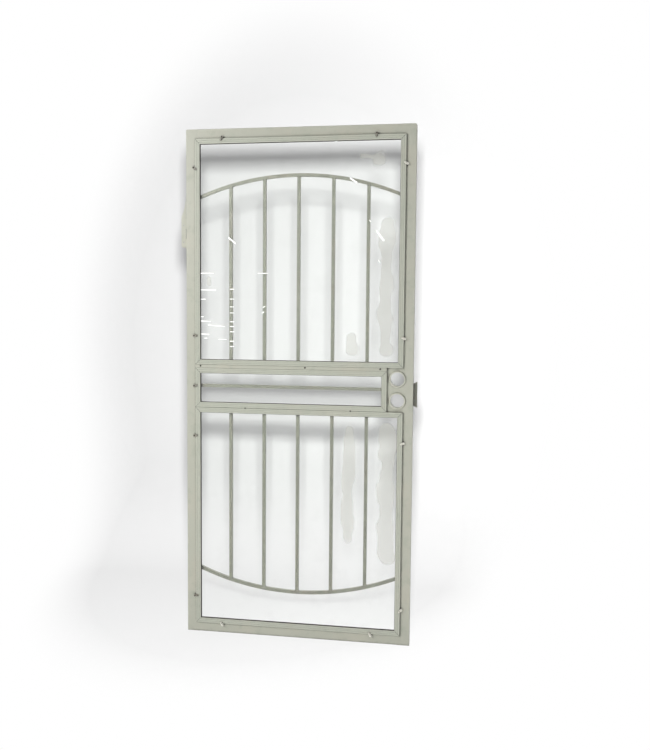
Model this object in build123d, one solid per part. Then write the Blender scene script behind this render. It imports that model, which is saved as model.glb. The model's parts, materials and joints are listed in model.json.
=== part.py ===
"""Steel security door with three glazed inserts, hung on three surface hinges. Sizes are in millimetres.

X runs across the leaf from its hinge edge, Z is up, and -Y is the room side, which carries the inserts and their
clips. The pieces are drawn from the leaf's lower hinge-side corner on its room face. They are then moved so that
the origin lies on the wall side of the upper hinge's wall flap, midway between its two screw holes.
"""

from build123d import *
from math import atan2, degrees, sin
import os

# Leaf: 36 by 80 in, of rectangular steel tube
LEAF_WIDTH = 914.0
LEAF_HEIGHT = 2032.0
LEAF_DEPTH = 25.4
STILE_WIDTH = 50.8
TUBE_WALL = 1.5
TUBE_EDGE_RADIUS = 2.0
CORNER_RADIUS = 7.0

# Middle rails, and the short tube beside the lock stile that takes the locks
LOWER_MID_BOTTOM = 916.3
LOWER_MID_HEIGHT = 25.4
UPPER_MID_BOTTOM = 1075.4
UPPER_MID_HEIGHT = 38.1
LOCK_BOX_WIDTH = 63.5

# Guard bars: half-inch square tube in the middle of the leaf's depth
BAR = 12.7
BAR_WALL = 1.2
BAR_COUNT = 5
BAR_PITCH = 137.5
ARCH_SPRING = 1765.0
ARCH_RISE = 83.0
LOWER_ARCH_SPRING = 268.0
MIDDLE_BAR_HEIGHT = 1016.0

# Insert frames: a channel that lies on the tubes, with a stem that drops into the opening and holds the glass
INSERT_OVERLAP = 12.2
RAIL_WIDTH = 20.0
RAIL_RAISE = 8.0
RAIL_SKIN = 2.5
RAIL_LEG = 2.0
STEM_WIDTH = 4.6
STEM_DROP = 4.0
GLASS_THICKNESS = 3.0
GLASS_BACK = 2.0
GROOVE_DEPTH = 3.0
GLASS_EDGE_GAP = 0.5
RAIL_BEVEL = 0.9
RAIL_LINES = (7.0, 14.0)
LINE_WIDTH = 1.6
LINE_DEPTH = 0.7
STRIP_GAP = 0.35

# Lock bores
BORE_RADIUS = 27.0
SLEEVE_RADIUS = 28.5
COLLAR_RADIUS = 34.5
COLLAR_CREST_RADIUS = 31.0
COLLAR_RAISE = 6.0
BOLT_HOLE_RADIUS = 10.5
BORE_FROM_EDGE = 61.5
DEADBOLT_HEIGHT = 1057.5
LATCH_HEIGHT = 973.0

# Latch guard on the outside face
GUARD_THICKNESS = 3.2
GUARD_REACH = 14.5
GUARD_LAP = 22.0
GUARD_BOTTOM = 953.0
GUARD_TOP = 1041.0
GUARD_FLARE = 7.0

# Surface hinges on the outside face
HINGE_HEIGHTS = {"upper": 1625.0, "middle": 1016.0, "lower": 407.0}
HINGE_PLATE = 3.0
AXIS_X = -3.0
AXIS_Y = LEAF_DEPTH + 6.5
BARREL_RADIUS = 6.0
PIN_RADIUS = 3.0
PIN_CLEARANCE = 0.05
PIN_HEAD_RADIUS = 4.6
PIN_HEAD = 2.5
PIN_TAIL = 1.0
PIN_HEAD_GAP = 0.3
KNUCKLE = 39.0
KNUCKLE_GAP = 0.5
FLAP_EDGE_X = -29.0
FLAP_INNER_X = -10.0
FLAP_FOOT = -55.0
FLAP_SHOULDER = 62.0
FLAP_SHOULDER_RADIUS = 30.0
FLAP_TIP = 150.0
FLAP_CORNER_RADIUS = 9.0
FLAP_HOLE_X = -19.0
FLAP_HOLE_SPACING = 68.0
SCREW_HOLE_RADIUS = 2.75
LEAF_PLATE_X = (6.0, 42.0)
LEAF_PLATE_HALF_HEIGHT = 60.0
LEAF_PLATE_RADIUS = 8.0

# Turn clips: each pivots on a screw in the tube, laps over the edge of an insert, and has a wing for the thumb
CLIP_OFFSET = 5.2
CLIP_REACH = 15.0
CLIP_HEEL = 4.7
CLIP_FOOT_RADIUS = 4.4
CLIP_FOOT_SIDES = 12
CLIP_TOE_HALF_WIDTH = 3.3
CLIP_BEVEL = 2.0
CLIP_SEAT_GAP = 0.3
CLIP_OVER_RAIL = 0.5
CLIP_THICKNESS = 2.0
WING_SPAN = (5.4, 14.2)
WING_SLOPE = 1.8
WING_HEIGHT = 5.0
WING_THICKNESS = 2.8
# Each clip's place along its edge, and how far it was left turned from square, counter-clockwise from the room
TOP_CLIPS = ((150.0, -20.0), (762.0, -6.0))
BOTTOM_CLIPS = ((150.0, 28.0), (760.0, 33.0))
HINGE_SIDE_CLIPS = ((1882.0, -35.0), (1217.0, 0.0), (1015.0, 9.0), (812.0, 9.0), (150.0, 6.0))
LOCK_SIDE_CLIPS = ((1881.0, -25.0), (1215.0, -15.0), (808.0, 16.0), (145.0, 42.0))

# Worked out from the above
OPENING_LEFT = STILE_WIDTH
OPENING_RIGHT = LEAF_WIDTH - STILE_WIDTH
LOCK_BOX_LEFT = OPENING_RIGHT - LOCK_BOX_WIDTH
LOWER_MID_TOP = LOWER_MID_BOTTOM + LOWER_MID_HEIGHT
UPPER_MID_TOP = UPPER_MID_BOTTOM + UPPER_MID_HEIGHT
BORE_X = LEAF_WIDTH - BORE_FROM_EDGE
BORE_HEIGHTS = (DEADBOLT_HEIGHT, LATCH_HEIGHT)
MIDDLE_X = LEAF_WIDTH / 2
OPENINGS = {
    "upper": (OPENING_LEFT, OPENING_RIGHT, UPPER_MID_TOP, LEAF_HEIGHT - STILE_WIDTH),
    "middle": (OPENING_LEFT, LOCK_BOX_LEFT, LOWER_MID_TOP, UPPER_MID_BOTTOM),
    "lower": (OPENING_LEFT, OPENING_RIGHT, STILE_WIDTH, LOWER_MID_BOTTOM),
}
ORIGIN = (FLAP_HOLE_X, LEAF_DEPTH, HINGE_HEIGHTS["upper"])


def block(x, y, z):
    """A box from its low and high limits along each axis."""
    size = [span[1] - span[0] for span in (x, y, z)]
    middle = [(span[0] + span[1]) / 2 for span in (x, y, z)]
    return Pos(*middle) * Box(*size)


def slab(outline, y_low, y_high):
    """An outline drawn in X and Z, as thick as from y_low to y_high."""
    plane = Plane(origin=(0, y_high, 0), x_dir=(1, 0, 0), z_dir=(0, -1, 0))
    return extrude(plane * outline, amount=y_high - y_low)


def shrink(span, by):
    return (span[0] + by, span[1] - by)


def bore_cutters(radius):
    """Cylinders through the leaf at the two lock bores."""
    rod = Rot(90, 0, 0) * Cylinder(radius, 3 * LEAF_DEPTH)
    return [Pos(BORE_X, LEAF_DEPTH / 2, height) * rod for height in BORE_HEIGHTS]


def bolt_cutters():
    """Cylinders from the middle of each lock bore out through the lock edge, for the bolts."""
    x = (BORE_X, LEAF_WIDTH + TUBE_WALL)
    rod = Rot(0, 90, 0) * Cylinder(BOLT_HOLE_RADIUS, x[1] - x[0])
    return [Pos(sum(x) / 2, LEAF_DEPTH / 2, height) * rod for height in BORE_HEIGHTS]


def leaf_outline(inset):
    """The leaf seen from the front, with its two top corners ground round, drawn inset all round."""
    width = LEAF_WIDTH - 2 * inset
    height = LEAF_HEIGHT - 2 * inset
    sheet = Pos(MIDDLE_X, LEAF_HEIGHT / 2) * Rectangle(width, height)
    return fillet(sheet.vertices().group_by(Axis.Y)[-1], CORNER_RADIUS - inset)


def hinge_stile():
    """The tube on the hinge side: capped at its top, and open at its foot so that it drains."""
    x, y, z = (0, STILE_WIDTH), (0, LEAF_DEPTH), (0, LEAF_HEIGHT)
    outside = block(x, y, z)
    outside = fillet(outside.edges().filter_by(Axis.Z).group_by(Axis.X)[0], TUBE_EDGE_RADIUS)
    outside &= slab(leaf_outline(0), 0, LEAF_DEPTH)
    cavity = block(shrink(x, TUBE_WALL), shrink(y, TUBE_WALL), (TUBE_WALL, LEAF_HEIGHT))
    cavity &= slab(leaf_outline(TUBE_WALL), 0, LEAF_DEPTH)
    drain = block(shrink(x, 2 * TUBE_WALL), shrink(y, 2 * TUBE_WALL), (0, 2 * TUBE_WALL))
    return outside - cavity - drain


def lock_stile():
    """The hinge stile's mirror image, cut through at the lock bores and, in its edge, for the bolts."""
    stile = mirror(hinge_stile(), about=Plane.YZ.offset(MIDDLE_X))
    return stile - bore_cutters(SLEEVE_RADIUS) - bolt_cutters()


def across_tube(z, x=(OPENING_LEFT, OPENING_RIGHT), round_edges=None):
    """A tube that runs across the leaf. Its open ends butt on its neighbours."""
    outside = block(x, (0, LEAF_DEPTH), z)
    if round_edges is not None:
        edges = outside.edges().filter_by(Axis.X).group_by(Axis.Z)[round_edges]
        outside = fillet(edges, TUBE_EDGE_RADIUS)
    return outside - block(x, shrink((0, LEAF_DEPTH), TUBE_WALL), shrink(z, TUBE_WALL))


def lock_box():
    """The short upright tube beside the lock stile, capped at both ends and cut through at the lock bores."""
    x = (LOCK_BOX_LEFT, OPENING_RIGHT)
    y = (0, LEAF_DEPTH)
    z = (LOWER_MID_BOTTOM, UPPER_MID_TOP)
    shell = block(x, y, z) - block(*(shrink(span, TUBE_WALL) for span in (x, y, z)))
    return shell - bore_cutters(SLEEVE_RADIUS)


def lock_sleeves():
    """A sleeve in each lock bore, with a square window for the bolt. Its ends stand out from both faces of the leaf
    as bevelled collars."""
    room, outside = -COLLAR_RAISE, LEAF_DEPTH + COLLAR_RAISE
    profile = make_face(
        Polyline(
            (BORE_RADIUS, room),
            (COLLAR_CREST_RADIUS, room),
            (COLLAR_RADIUS, 0),
            (SLEEVE_RADIUS, 0),
            (SLEEVE_RADIUS, LEAF_DEPTH),
            (COLLAR_RADIUS, LEAF_DEPTH),
            (COLLAR_CREST_RADIUS, outside),
            (BORE_RADIUS, outside),
            close=True,
        )
    )
    sleeve = revolve(profile, axis=Axis.Y)
    y = shrink((0, LEAF_DEPTH), LEAF_DEPTH / 2 - BOLT_HOLE_RADIUS)
    window = block((0, COLLAR_RADIUS), y, (-BOLT_HOLE_RADIUS, BOLT_HOLE_RADIUS))
    return [Pos(BORE_X, 0, height) * (sleeve - window) for height in BORE_HEIGHTS]


BAR_Y = ((LEAF_DEPTH - BAR) / 2, (LEAF_DEPTH + BAR) / 2)
HALF_CHORD = (OPENING_RIGHT - OPENING_LEFT) / 2
ARCH_RADIUS = (HALF_CHORD**2 + ARCH_RISE**2) / (2 * ARCH_RISE)
UPPER_ARCH_CENTRE = ARCH_SPRING + ARCH_RISE - ARCH_RADIUS
LOWER_ARCH_CENTRE = LOWER_ARCH_SPRING - ARCH_RISE + ARCH_RADIUS


def arch_disc(centre, radius, y):
    return slab(Pos(MIDDLE_X, centre) * Circle(radius), *y)


def arch_bar(centre, z):
    """A bar bent to an arc between the stiles; z is the band of heights that it lies in."""
    outer, inner = ARCH_RADIUS + BAR / 2, ARCH_RADIUS - BAR / 2
    band = block((OPENING_LEFT, OPENING_RIGHT), BAR_Y, z)
    bar = (arch_disc(centre, outer, BAR_Y) - arch_disc(centre, inner, BAR_Y)) & band
    hollow_y = shrink(BAR_Y, BAR_WALL)
    hollow = arch_disc(centre, outer - BAR_WALL, hollow_y) - arch_disc(centre, inner + BAR_WALL, hollow_y)
    return bar - (hollow & band)


def upright_bars(centre, z):
    """Upright bars of square tube, coped at one end to the arch that they meet."""
    inside_arch = arch_disc(centre, ARCH_RADIUS - BAR / 2, BAR_Y)
    bars = []
    for step in range(BAR_COUNT):
        middle = MIDDLE_X + (step - (BAR_COUNT - 1) / 2) * BAR_PITCH
        x = (middle - BAR / 2, middle + BAR / 2)
        bar = block(x, BAR_Y, z) - block(shrink(x, BAR_WALL), shrink(BAR_Y, BAR_WALL), z)
        bars.append(bar & inside_arch)
    return bars


def middle_bar():
    x = (OPENING_LEFT, LOCK_BOX_LEFT)
    z = (MIDDLE_BAR_HEIGHT - BAR / 2, MIDDLE_BAR_HEIGHT + BAR / 2)
    return block(x, BAR_Y, z) - block(x, shrink(BAR_Y, BAR_WALL), shrink(z, BAR_WALL))


def insert_limits(name):
    x_low, x_high, z_low, z_high = OPENINGS[name]
    return (
        x_low - INSERT_OVERLAP,
        x_high + INSERT_OVERLAP,
        z_low - INSERT_OVERLAP,
        z_high + INSERT_OVERLAP,
    )


def rail_section():
    """The insert frame's section: X is the distance in from its outer edge, Y the height above the tubes. Two fine
    grooves run along its front."""
    stem = RAIL_WIDTH - STEM_WIDTH
    under = RAIL_RAISE - RAIL_SKIN
    groove = RAIL_WIDTH - GROOVE_DEPTH
    glass_front = GLASS_THICKNESS - GLASS_BACK
    lines = []
    for line in RAIL_LINES:
        lines += [(line - LINE_WIDTH / 2, RAIL_RAISE), (line, RAIL_RAISE - LINE_DEPTH), (line + LINE_WIDTH / 2, RAIL_RAISE)]
    return make_face(
        Polyline(
            (0, 0),
            (0, RAIL_RAISE - RAIL_BEVEL),
            (RAIL_BEVEL, RAIL_RAISE),
            *lines,
            (RAIL_WIDTH - RAIL_BEVEL, RAIL_RAISE),
            (RAIL_WIDTH, RAIL_RAISE - RAIL_BEVEL),
            (RAIL_WIDTH, glass_front),
            (groove, glass_front),
            (groove, -GLASS_BACK),
            (RAIL_WIDTH, -GLASS_BACK),
            (RAIL_WIDTH, -STEM_DROP),
            (stem, -STEM_DROP),
            (stem, under),
            (RAIL_LEG, under),
            (RAIL_LEG, 0),
            close=True,
        )
    )


def mitred_rail(length):
    """One rail lying along X from the origin, with the frame's inside towards Y, cut to 45 degrees at both ends."""
    rail = extrude(Plane.YZ * rail_section(), amount=length)
    rail = split(rail, bisect_by=Plane(origin=(0, 0, 0), z_dir=(1, -1, 0)), keep=Keep.TOP)
    return split(rail, bisect_by=Plane(origin=(length, 0, 0), z_dir=(-1, -1, 0)), keep=Keep.TOP)


def insert_rails(name):
    """The four mitred rails of one insert, each from the corner where it starts and the way it runs."""
    x_low, x_high, z_low, z_high = insert_limits(name)
    width, height = x_high - x_low, z_high - z_low
    runs = {
        "bottom": ((x_low, 0, z_low), (1, 0, 0), width),
        "lock_side": ((x_high, 0, z_low), (0, 0, 1), height),
        "top": ((x_high, 0, z_high), (-1, 0, 0), width),
        "hinge_side": ((x_low, 0, z_high), (0, 0, -1), height),
    }
    return {
        f"{name}_insert_{side}": Plane(origin=corner, x_dir=way, z_dir=(0, -1, 0)).location * mitred_rail(length)
        for side, (corner, way, length) in runs.items()
    }


def glass(name):
    inset = RAIL_WIDTH - GROOVE_DEPTH + GLASS_EDGE_GAP
    x_low, x_high, z_low, z_high = insert_limits(name)
    y = (GLASS_BACK - GLASS_THICKNESS, GLASS_BACK)
    return block(shrink((x_low, x_high), inset), y, shrink((z_low, z_high), inset))


def clamp_strip():
    """The strip screwed to the upper middle rail, level with the inserts above and below it."""
    x_low, x_high, _, z_low = insert_limits("middle")
    z_high = insert_limits("upper")[2]
    strip = block((x_low, x_high), (-RAIL_RAISE, 0), shrink((z_low, z_high), STRIP_GAP))
    front = strip.edges().filter_by(Axis.X).group_by(Axis.Y)[0]
    return chamfer(front, RAIL_BEVEL)


def latch_guard():
    """A plate on the outside face that laps past the lock edge, flared towards its free edge."""
    x = (LEAF_WIDTH - GUARD_LAP, LEAF_WIDTH, LEAF_WIDTH + GUARD_REACH)
    outline = Polyline(
        (x[0], GUARD_BOTTOM),
        (x[1], GUARD_BOTTOM),
        (x[2], GUARD_BOTTOM - GUARD_FLARE),
        (x[2], GUARD_TOP + GUARD_FLARE),
        (x[1], GUARD_TOP),
        (x[0], GUARD_TOP),
        close=True,
    )
    return slab(make_face(outline), LEAF_DEPTH, LEAF_DEPTH + GUARD_THICKNESS)


def knuckle(z):
    """One length of hinge barrel, bored for the pin."""
    ring = Circle(BARREL_RADIUS) - Circle(PIN_RADIUS + PIN_CLEARANCE)
    return Pos(AXIS_X, AXIS_Y, z[0]) * extrude(ring, amount=z[1] - z[0])


def pin_hole():
    return Pos(AXIS_X, AXIS_Y, 0) * Cylinder(PIN_RADIUS + PIN_CLEARANCE, 2 * FLAP_TIP)


def knuckle_heights():
    """Lower wall knuckle, leaf knuckle and upper wall knuckle, as heights about the hinge's middle."""
    half = KNUCKLE / 2
    far = half + KNUCKLE_GAP
    return (-far - KNUCKLE, -far), (-half, half), (far, far + KNUCKLE)


def flap_outline():
    """The wall flap, seen from the front. Its upper end sweeps in to a point by two arcs, each the other's reverse."""
    across, up = FLAP_INNER_X - FLAP_EDGE_X, FLAP_TIP - FLAP_SHOULDER
    turn = 2 * atan2(across, up)
    tip_radius = up / sin(turn) - FLAP_SHOULDER_RADIUS
    shoulder = JernArc((FLAP_EDGE_X, FLAP_SHOULDER), (0, 1), FLAP_SHOULDER_RADIUS, -degrees(turn))
    sweep = JernArc(shoulder @ 1, shoulder % 1, tip_radius, degrees(turn))
    rest = Polyline(sweep @ 1, (FLAP_INNER_X, FLAP_FOOT), (FLAP_EDGE_X, FLAP_FOOT), shoulder @ 0)
    outline = make_face([shoulder, sweep, rest])
    foot_corner = outline.vertices().sort_by(Axis.Y)[:2].sort_by(Axis.X)[0]
    return fillet(foot_corner, FLAP_CORNER_RADIUS)


def wall_flap():
    """The hinge's wall side: the flap with two screw holes, and two knuckles."""
    holes = [Pos(FLAP_HOLE_X, side * FLAP_HOLE_SPACING / 2) * Circle(SCREW_HOLE_RADIUS) for side in (-1, 1)]
    y = (LEAF_DEPTH, LEAF_DEPTH + HINGE_PLATE)
    flap = slab(flap_outline() - holes, *y)
    low, _, high = knuckle_heights()
    for z in (low, high):
        flap = flap + knuckle(z) + (block((FLAP_INNER_X - 1, AXIS_X), y, z) - pin_hole())
    return flap


def leaf_plate():
    """The hinge's leaf side: a plate on the stile, with the middle knuckle."""
    x_low, x_high = LEAF_PLATE_X
    height = 2 * LEAF_PLATE_HALF_HEIGHT
    outline = Pos((x_low + x_high) / 2, 0) * RectangleRounded(x_high - x_low, height, LEAF_PLATE_RADIUS)
    y = (LEAF_DEPTH, LEAF_DEPTH + HINGE_PLATE)
    z = knuckle_heights()[1]
    tongue = block((AXIS_X, x_low + 1), y, z) - pin_hole()
    return slab(outline, *y) + knuckle(z) + tongue


def hinge_pin():
    """A pin held in the leaf's knuckle: its head lies over the upper knuckle, and its tail shows under the lower one."""
    low, _, high = knuckle_heights()
    foot, neck = low[0] - PIN_TAIL, high[1] + PIN_HEAD_GAP
    shaft = Pos(0, 0, foot) * extrude(Circle(PIN_RADIUS), amount=neck - foot)
    head = Pos(0, 0, neck) * extrude(Circle(PIN_HEAD_RADIUS), amount=PIN_HEAD)
    return Pos(AXIS_X, AXIS_Y, 0) * (shaft + head)


def hinges():
    """The hinges' pieces by name. The upper flap stands open; the other two are folded back behind the leaf."""
    fold = Pos(AXIS_X, AXIS_Y, 0) * Rot(0, 0, 180) * Pos(-AXIS_X, -AXIS_Y, 0)
    heights = HINGE_HEIGHTS.values()
    placed = {
        "hinge_leaf_plates": [Pos(0, 0, height) * leaf_plate() for height in heights],
        "hinge_pins": [Pos(0, 0, height) * hinge_pin() for height in heights],
    }
    for name, height in HINGE_HEIGHTS.items():
        seat = Pos(0, 0, height) if name == "upper" else Pos(0, 0, height) * fold
        placed[f"{name}_hinge_flap"] = seat * wall_flap()
    return placed


def turn_clip():
    """A clip about its screw, reaching along X: a twelve-sided foot, a tapered tab over the insert, and a thumb wing."""
    under = RAIL_RAISE + CLIP_OVER_RAIL
    over = under + CLIP_THICKNESS
    half = [
        (CLIP_REACH, CLIP_TOE_HALF_WIDTH - CLIP_BEVEL / 2),
        (CLIP_REACH - CLIP_BEVEL / 2, CLIP_TOE_HALF_WIDTH),
        (CLIP_HEEL, CLIP_HEEL),
        (CLIP_BEVEL - CLIP_HEEL, CLIP_HEEL),
        (-CLIP_HEEL, CLIP_HEEL - CLIP_BEVEL),
    ]
    outline = make_face(Polyline(*half, *((x, -y) for x, y in reversed(half)), close=True))
    tab = Pos(0, 0, under) * extrude(outline, amount=CLIP_THICKNESS)
    foot = Pos(0, 0, CLIP_SEAT_GAP) * extrude(RegularPolygon(CLIP_FOOT_RADIUS, CLIP_FOOT_SIDES), amount=under)
    back, front = WING_SPAN
    side = Polyline(
        (back, under),
        (back + WING_SLOPE, over + WING_HEIGHT),
        (front - WING_SLOPE, over + WING_HEIGHT),
        (front, under),
        close=True,
    )
    wing = extrude(Plane.XZ * make_face(side), amount=WING_THICKNESS / 2, both=True)
    return tab + foot + wing


def clips():
    """Every turn clip where it sits, by name: its pivot, the way to its insert, and its turn from that way."""
    clip = turn_clip()
    x_low, x_high, z_low, _ = insert_limits("lower")
    z_high = insert_limits("upper")[3]
    rows = {
        "top_clip": [((x, z_high + CLIP_OFFSET), (0, 0, -1), turn) for x, turn in TOP_CLIPS],
        "hinge_side_clip": [((x_low - CLIP_OFFSET, z), (1, 0, 0), turn) for z, turn in HINGE_SIDE_CLIPS],
        "lock_side_clip": [((x_high + CLIP_OFFSET, z), (-1, 0, 0), turn) for z, turn in LOCK_SIDE_CLIPS],
        "bottom_clip": [((x, z_low - CLIP_OFFSET), (0, 0, 1), turn) for x, turn in BOTTOM_CLIPS],
    }
    placed = {}
    for row, spots in rows.items():
        for number, ((x, z), way, turn) in enumerate(spots, 1):
            seat = Plane(origin=(x, 0, z), x_dir=way, z_dir=(0, -1, 0))
            placed[f"{row}_{number}"] = seat.location * Rot(0, 0, turn) * clip
    return placed


def nodes():
    """Every sub-part by name, in the leaf's own coordinates."""
    high = (UPPER_MID_TOP, LEAF_HEIGHT)
    low = (0, LOWER_MID_BOTTOM)
    parts = {
        "hinge_stile": hinge_stile(),
        "lock_stile": lock_stile(),
        "top_rail": across_tube((LEAF_HEIGHT - STILE_WIDTH, LEAF_HEIGHT), round_edges=-1),
        "bottom_rail": across_tube((0, STILE_WIDTH), round_edges=0),
        "upper_middle_rail": across_tube((UPPER_MID_BOTTOM, UPPER_MID_TOP), (OPENING_LEFT, LOCK_BOX_LEFT)),
        "lower_middle_rail": across_tube((LOWER_MID_BOTTOM, LOWER_MID_TOP), (OPENING_LEFT, LOCK_BOX_LEFT)),
        "lock_box": lock_box(),
        "lock_sleeves": lock_sleeves(),
        "upper_arch_bar": arch_bar(UPPER_ARCH_CENTRE, high),
        "lower_arch_bar": arch_bar(LOWER_ARCH_CENTRE, low),
        "upper_bars": upright_bars(UPPER_ARCH_CENTRE, high),
        "lower_bars": upright_bars(LOWER_ARCH_CENTRE, low),
        "middle_bar": middle_bar(),
        "clamp_strip": clamp_strip(),
        "latch_guard": latch_guard(),
    }
    for name in OPENINGS:
        parts |= insert_rails(name)
        parts[f"{name}_glass"] = glass(name)
    return parts | hinges() | clips()


def export(name, piece):
    """Moves a sub-part's solids to the part's origin and writes them as one file."""
    pieces = piece if isinstance(piece, list) else [piece]
    solids = [solid for item in pieces for solid in item.solids()]
    shift = Pos(*(-value for value in ORIGIN))
    moved = [shift * solid for solid in solids]
    export_step(moved[0] if len(moved) == 1 else Compound(children=moved), f"parts/{name}.step")


os.makedirs("parts", exist_ok=True)
for node, shape in nodes().items():
    export(node, shape)
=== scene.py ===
# %% [markdown]
# # A glazed steel security door, dressed in Blender
# The leaf, its glazed inserts and its clips come from CAD at real size and stay as they are. This lesson adds what a
# solid model leaves out: paint, welds, screws, gaskets, clean and smeared glass, a camera and studio light. Each step
# is a short cell, and most cells print what they made.

# %% Load the frame
import bmesh
import bpy
import json
import numpy as np
from math import radians
from mathutils import Matrix, Vector


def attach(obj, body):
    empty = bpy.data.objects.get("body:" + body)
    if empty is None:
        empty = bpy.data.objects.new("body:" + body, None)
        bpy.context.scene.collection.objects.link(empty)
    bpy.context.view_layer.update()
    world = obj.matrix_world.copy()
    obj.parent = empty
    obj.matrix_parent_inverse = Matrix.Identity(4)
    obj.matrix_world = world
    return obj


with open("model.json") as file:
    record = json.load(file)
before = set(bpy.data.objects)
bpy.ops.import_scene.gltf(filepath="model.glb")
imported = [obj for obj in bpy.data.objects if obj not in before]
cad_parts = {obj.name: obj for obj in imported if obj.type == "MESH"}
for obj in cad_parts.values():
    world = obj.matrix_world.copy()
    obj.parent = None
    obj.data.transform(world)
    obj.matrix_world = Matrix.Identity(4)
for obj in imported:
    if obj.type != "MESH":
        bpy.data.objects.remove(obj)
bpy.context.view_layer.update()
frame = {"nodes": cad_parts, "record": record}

# %% [markdown]
# ## One ruler for every new piece
# On the real door each measure is taken from a corner of the leaf, with a tape in millimetres. Blender works in metres
# from an origin at the upper hinge. A single small function turns the one into the other, so that every later cell can
# use the door maker's numbers.

# %% The leaf's ruler
MM_PER_METRE = 1000
LEAF_CORNER = np.array([0.019, -0.0254, -1.625])
LEAF_WIDTH, LEAF_HEIGHT, LEAF_DEPTH = 914.0, 2032.0, 25.4
MIDDLE_X, MIDDLE_Y = LEAF_WIDTH / 2, LEAF_DEPTH / 2


def on_leaf(points):
    """Millimetres from the leaf's lower hinge-side corner on its room face, as metres in the model's frame: the
    points are divided by a thousand and the corner is added."""
    return np.asarray(points, float) / MM_PER_METRE + LEAF_CORNER


print("leaf's far top corner:", on_leaf([LEAF_WIDTH, LEAF_DEPTH, LEAF_HEIGHT]).round(4))

# %% [markdown]
# ## From a grid of points to a mesh
# A bead, a screw head or a gasket is a surface: a function of two parameters, such as the way round and the way along.
# Numpy works out all its points at once as a grid, and each cell of the grid becomes a face with four corners. The
# other way, adding primitives by hand, would leave every vertex to the mouse.

# %% Grids become a mesh, and a mesh becomes an object
def grid_mesh(name, grids):
    """One mesh of several grids (rows, columns, 3). A face joins a point to the next in its row, then to the two
    below them: corners (i, j), (i, j+1), (i+1, j+1), (i+1, j)."""
    points, faces, start = [], [], 0
    for grid in grids:
        rows, columns = grid.shape[:2]
        index = start + np.arange(rows * columns).reshape(rows, columns)
        corners = (index[:-1, :-1], index[:-1, 1:], index[1:, 1:], index[1:, :-1])
        faces.append(np.stack(corners, axis=-1).reshape(-1, 4))
        points.append(grid.reshape(-1, 3))
        start += rows * columns
    mesh = bpy.data.meshes.new(name)
    mesh.from_pydata(np.concatenate(points).tolist(), [], np.concatenate(faces).tolist())
    mesh.shade_smooth()
    return mesh


def put_in_scene(name, data):
    """An object that holds this mesh, lens or lamp, at the origin of the scene."""
    thing = bpy.data.objects.new(name, data)
    bpy.context.scene.collection.objects.link(thing)
    return thing


# %% [markdown]
# ## Closing a piece and giving it to the door
# A grid that goes round ends where it began, so its first and last points are doubles. Merging them closes the seams
# and poles, and recalculating the normals turns every face outwards. Each piece then rides on a body of the CAD model,
# so that it moves with the leaf or with its clip.

# %% From grids to a finished piece
SAME_POINT = 1e-6


def build(name, grids, material, body, closed=True, sharp=40.0):
    """A piece of several grids: its doubles merged and its faces turned outwards where it is closed, and sharp where
    two faces meet at more than this angle."""
    mesh = grid_mesh(name, grids)
    if closed:
        work = bmesh.new()
        work.from_mesh(mesh)
        bmesh.ops.remove_doubles(work, verts=work.verts, dist=SAME_POINT)
        bmesh.ops.recalc_face_normals(work, faces=work.faces)
        work.to_mesh(mesh)
        work.free()
    mesh.set_sharp_from_angle(angle=radians(sharp))
    mesh.materials.append(material)
    piece = put_in_scene(name, mesh)
    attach(piece, body)
    print(f"{name}: {len(mesh.polygons)} faces")
    return piece


# %% [markdown]
# ## Short words for nodes
# A material is a tree of nodes joined by wires. It could be drawn by hand in the Shader Editor; in a script each node
# takes a line and each wire another. These helpers add a node and its wires in one go, so a finish reads like a recipe.

# %% Nodes and their wires
def node(tree, kind, links=None, **settings):
    """Adds a node, sets its settings, and fills its inputs: a socket is linked, and anything else is a plain value."""
    made = tree.nodes.new(f"ShaderNode{kind}")
    for key, value in settings.items():
        setattr(made, key, value)
    for key, value in (links or {}).items():
        if isinstance(value, bpy.types.NodeSocket):
            tree.links.new(value, made.inputs[key])
        else:
            made.inputs[key].default_value = value
    return made


def work_out(tree, operation, a, b=0.0, **settings):
    """One step of arithmetic on one or two values, such as MULTIPLY or ABSOLUTE."""
    return node(tree, "Math", {0: a, 1: b}, operation=operation, **settings).outputs[0]


def noise(tree, vector, scale, detail, **more):
    """Cloudy noise from 0 to 1, with about this many clouds in a metre."""
    return node(tree, "TexNoise", {"Vector": vector, "Scale": scale, "Detail": detail} | more).outputs["Fac"]


def mix_colour(tree, factor, a, b):
    """A colour between a and b; sockets 6 and 7 are the Mix node's two colours."""
    return node(tree, "Mix", {0: factor, 6: a, 7: b}, data_type="RGBA").outputs[2]


def remap(tree, value, low, high, to_low=0.0, to_high=1.0):
    """Stretches the band from low to high over the band from to_low to to_high, with soft ends."""
    links = {"Value": value, "From Min": low, "From Max": high, "To Min": to_low, "To Max": to_high}
    return node(tree, "MapRange", links, interpolation_type="SMOOTHSTEP").outputs["Result"]


# %% [markdown]
# ## Node groups: effects that several finishes share
# Paint that was sprayed by hand is never one colour: it has soft patches, rubbed edges, a skin like orange peel and
# dust on its ledges, and here its corners get painted shade as well. Each of these is one node group with named inputs
# and outputs. It is built once, and every material then places it with its own values. The groups read Object
# coordinates, so a pattern stays the same size on a long rail and a short one.

# %% Starting a group and placing it
def start_group(name, inputs, outputs):
    """A shader node group with these sockets: each input is (name, kind, value), each output is (name, kind)."""
    group = bpy.data.node_groups.new(name, "ShaderNodeTree")
    for label, kind, value in inputs:
        made = group.interface.new_socket(name=label, in_out="INPUT", socket_type=f"NodeSocket{kind}")
        if value is not None:
            made.default_value = value
    for label, kind in outputs:
        group.interface.new_socket(name=label, in_out="OUTPUT", socket_type=f"NodeSocket{kind}")
    print("node group:", name)
    return group, group.nodes.new("NodeGroupInput").outputs, group.nodes.new("NodeGroupOutput").inputs


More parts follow.
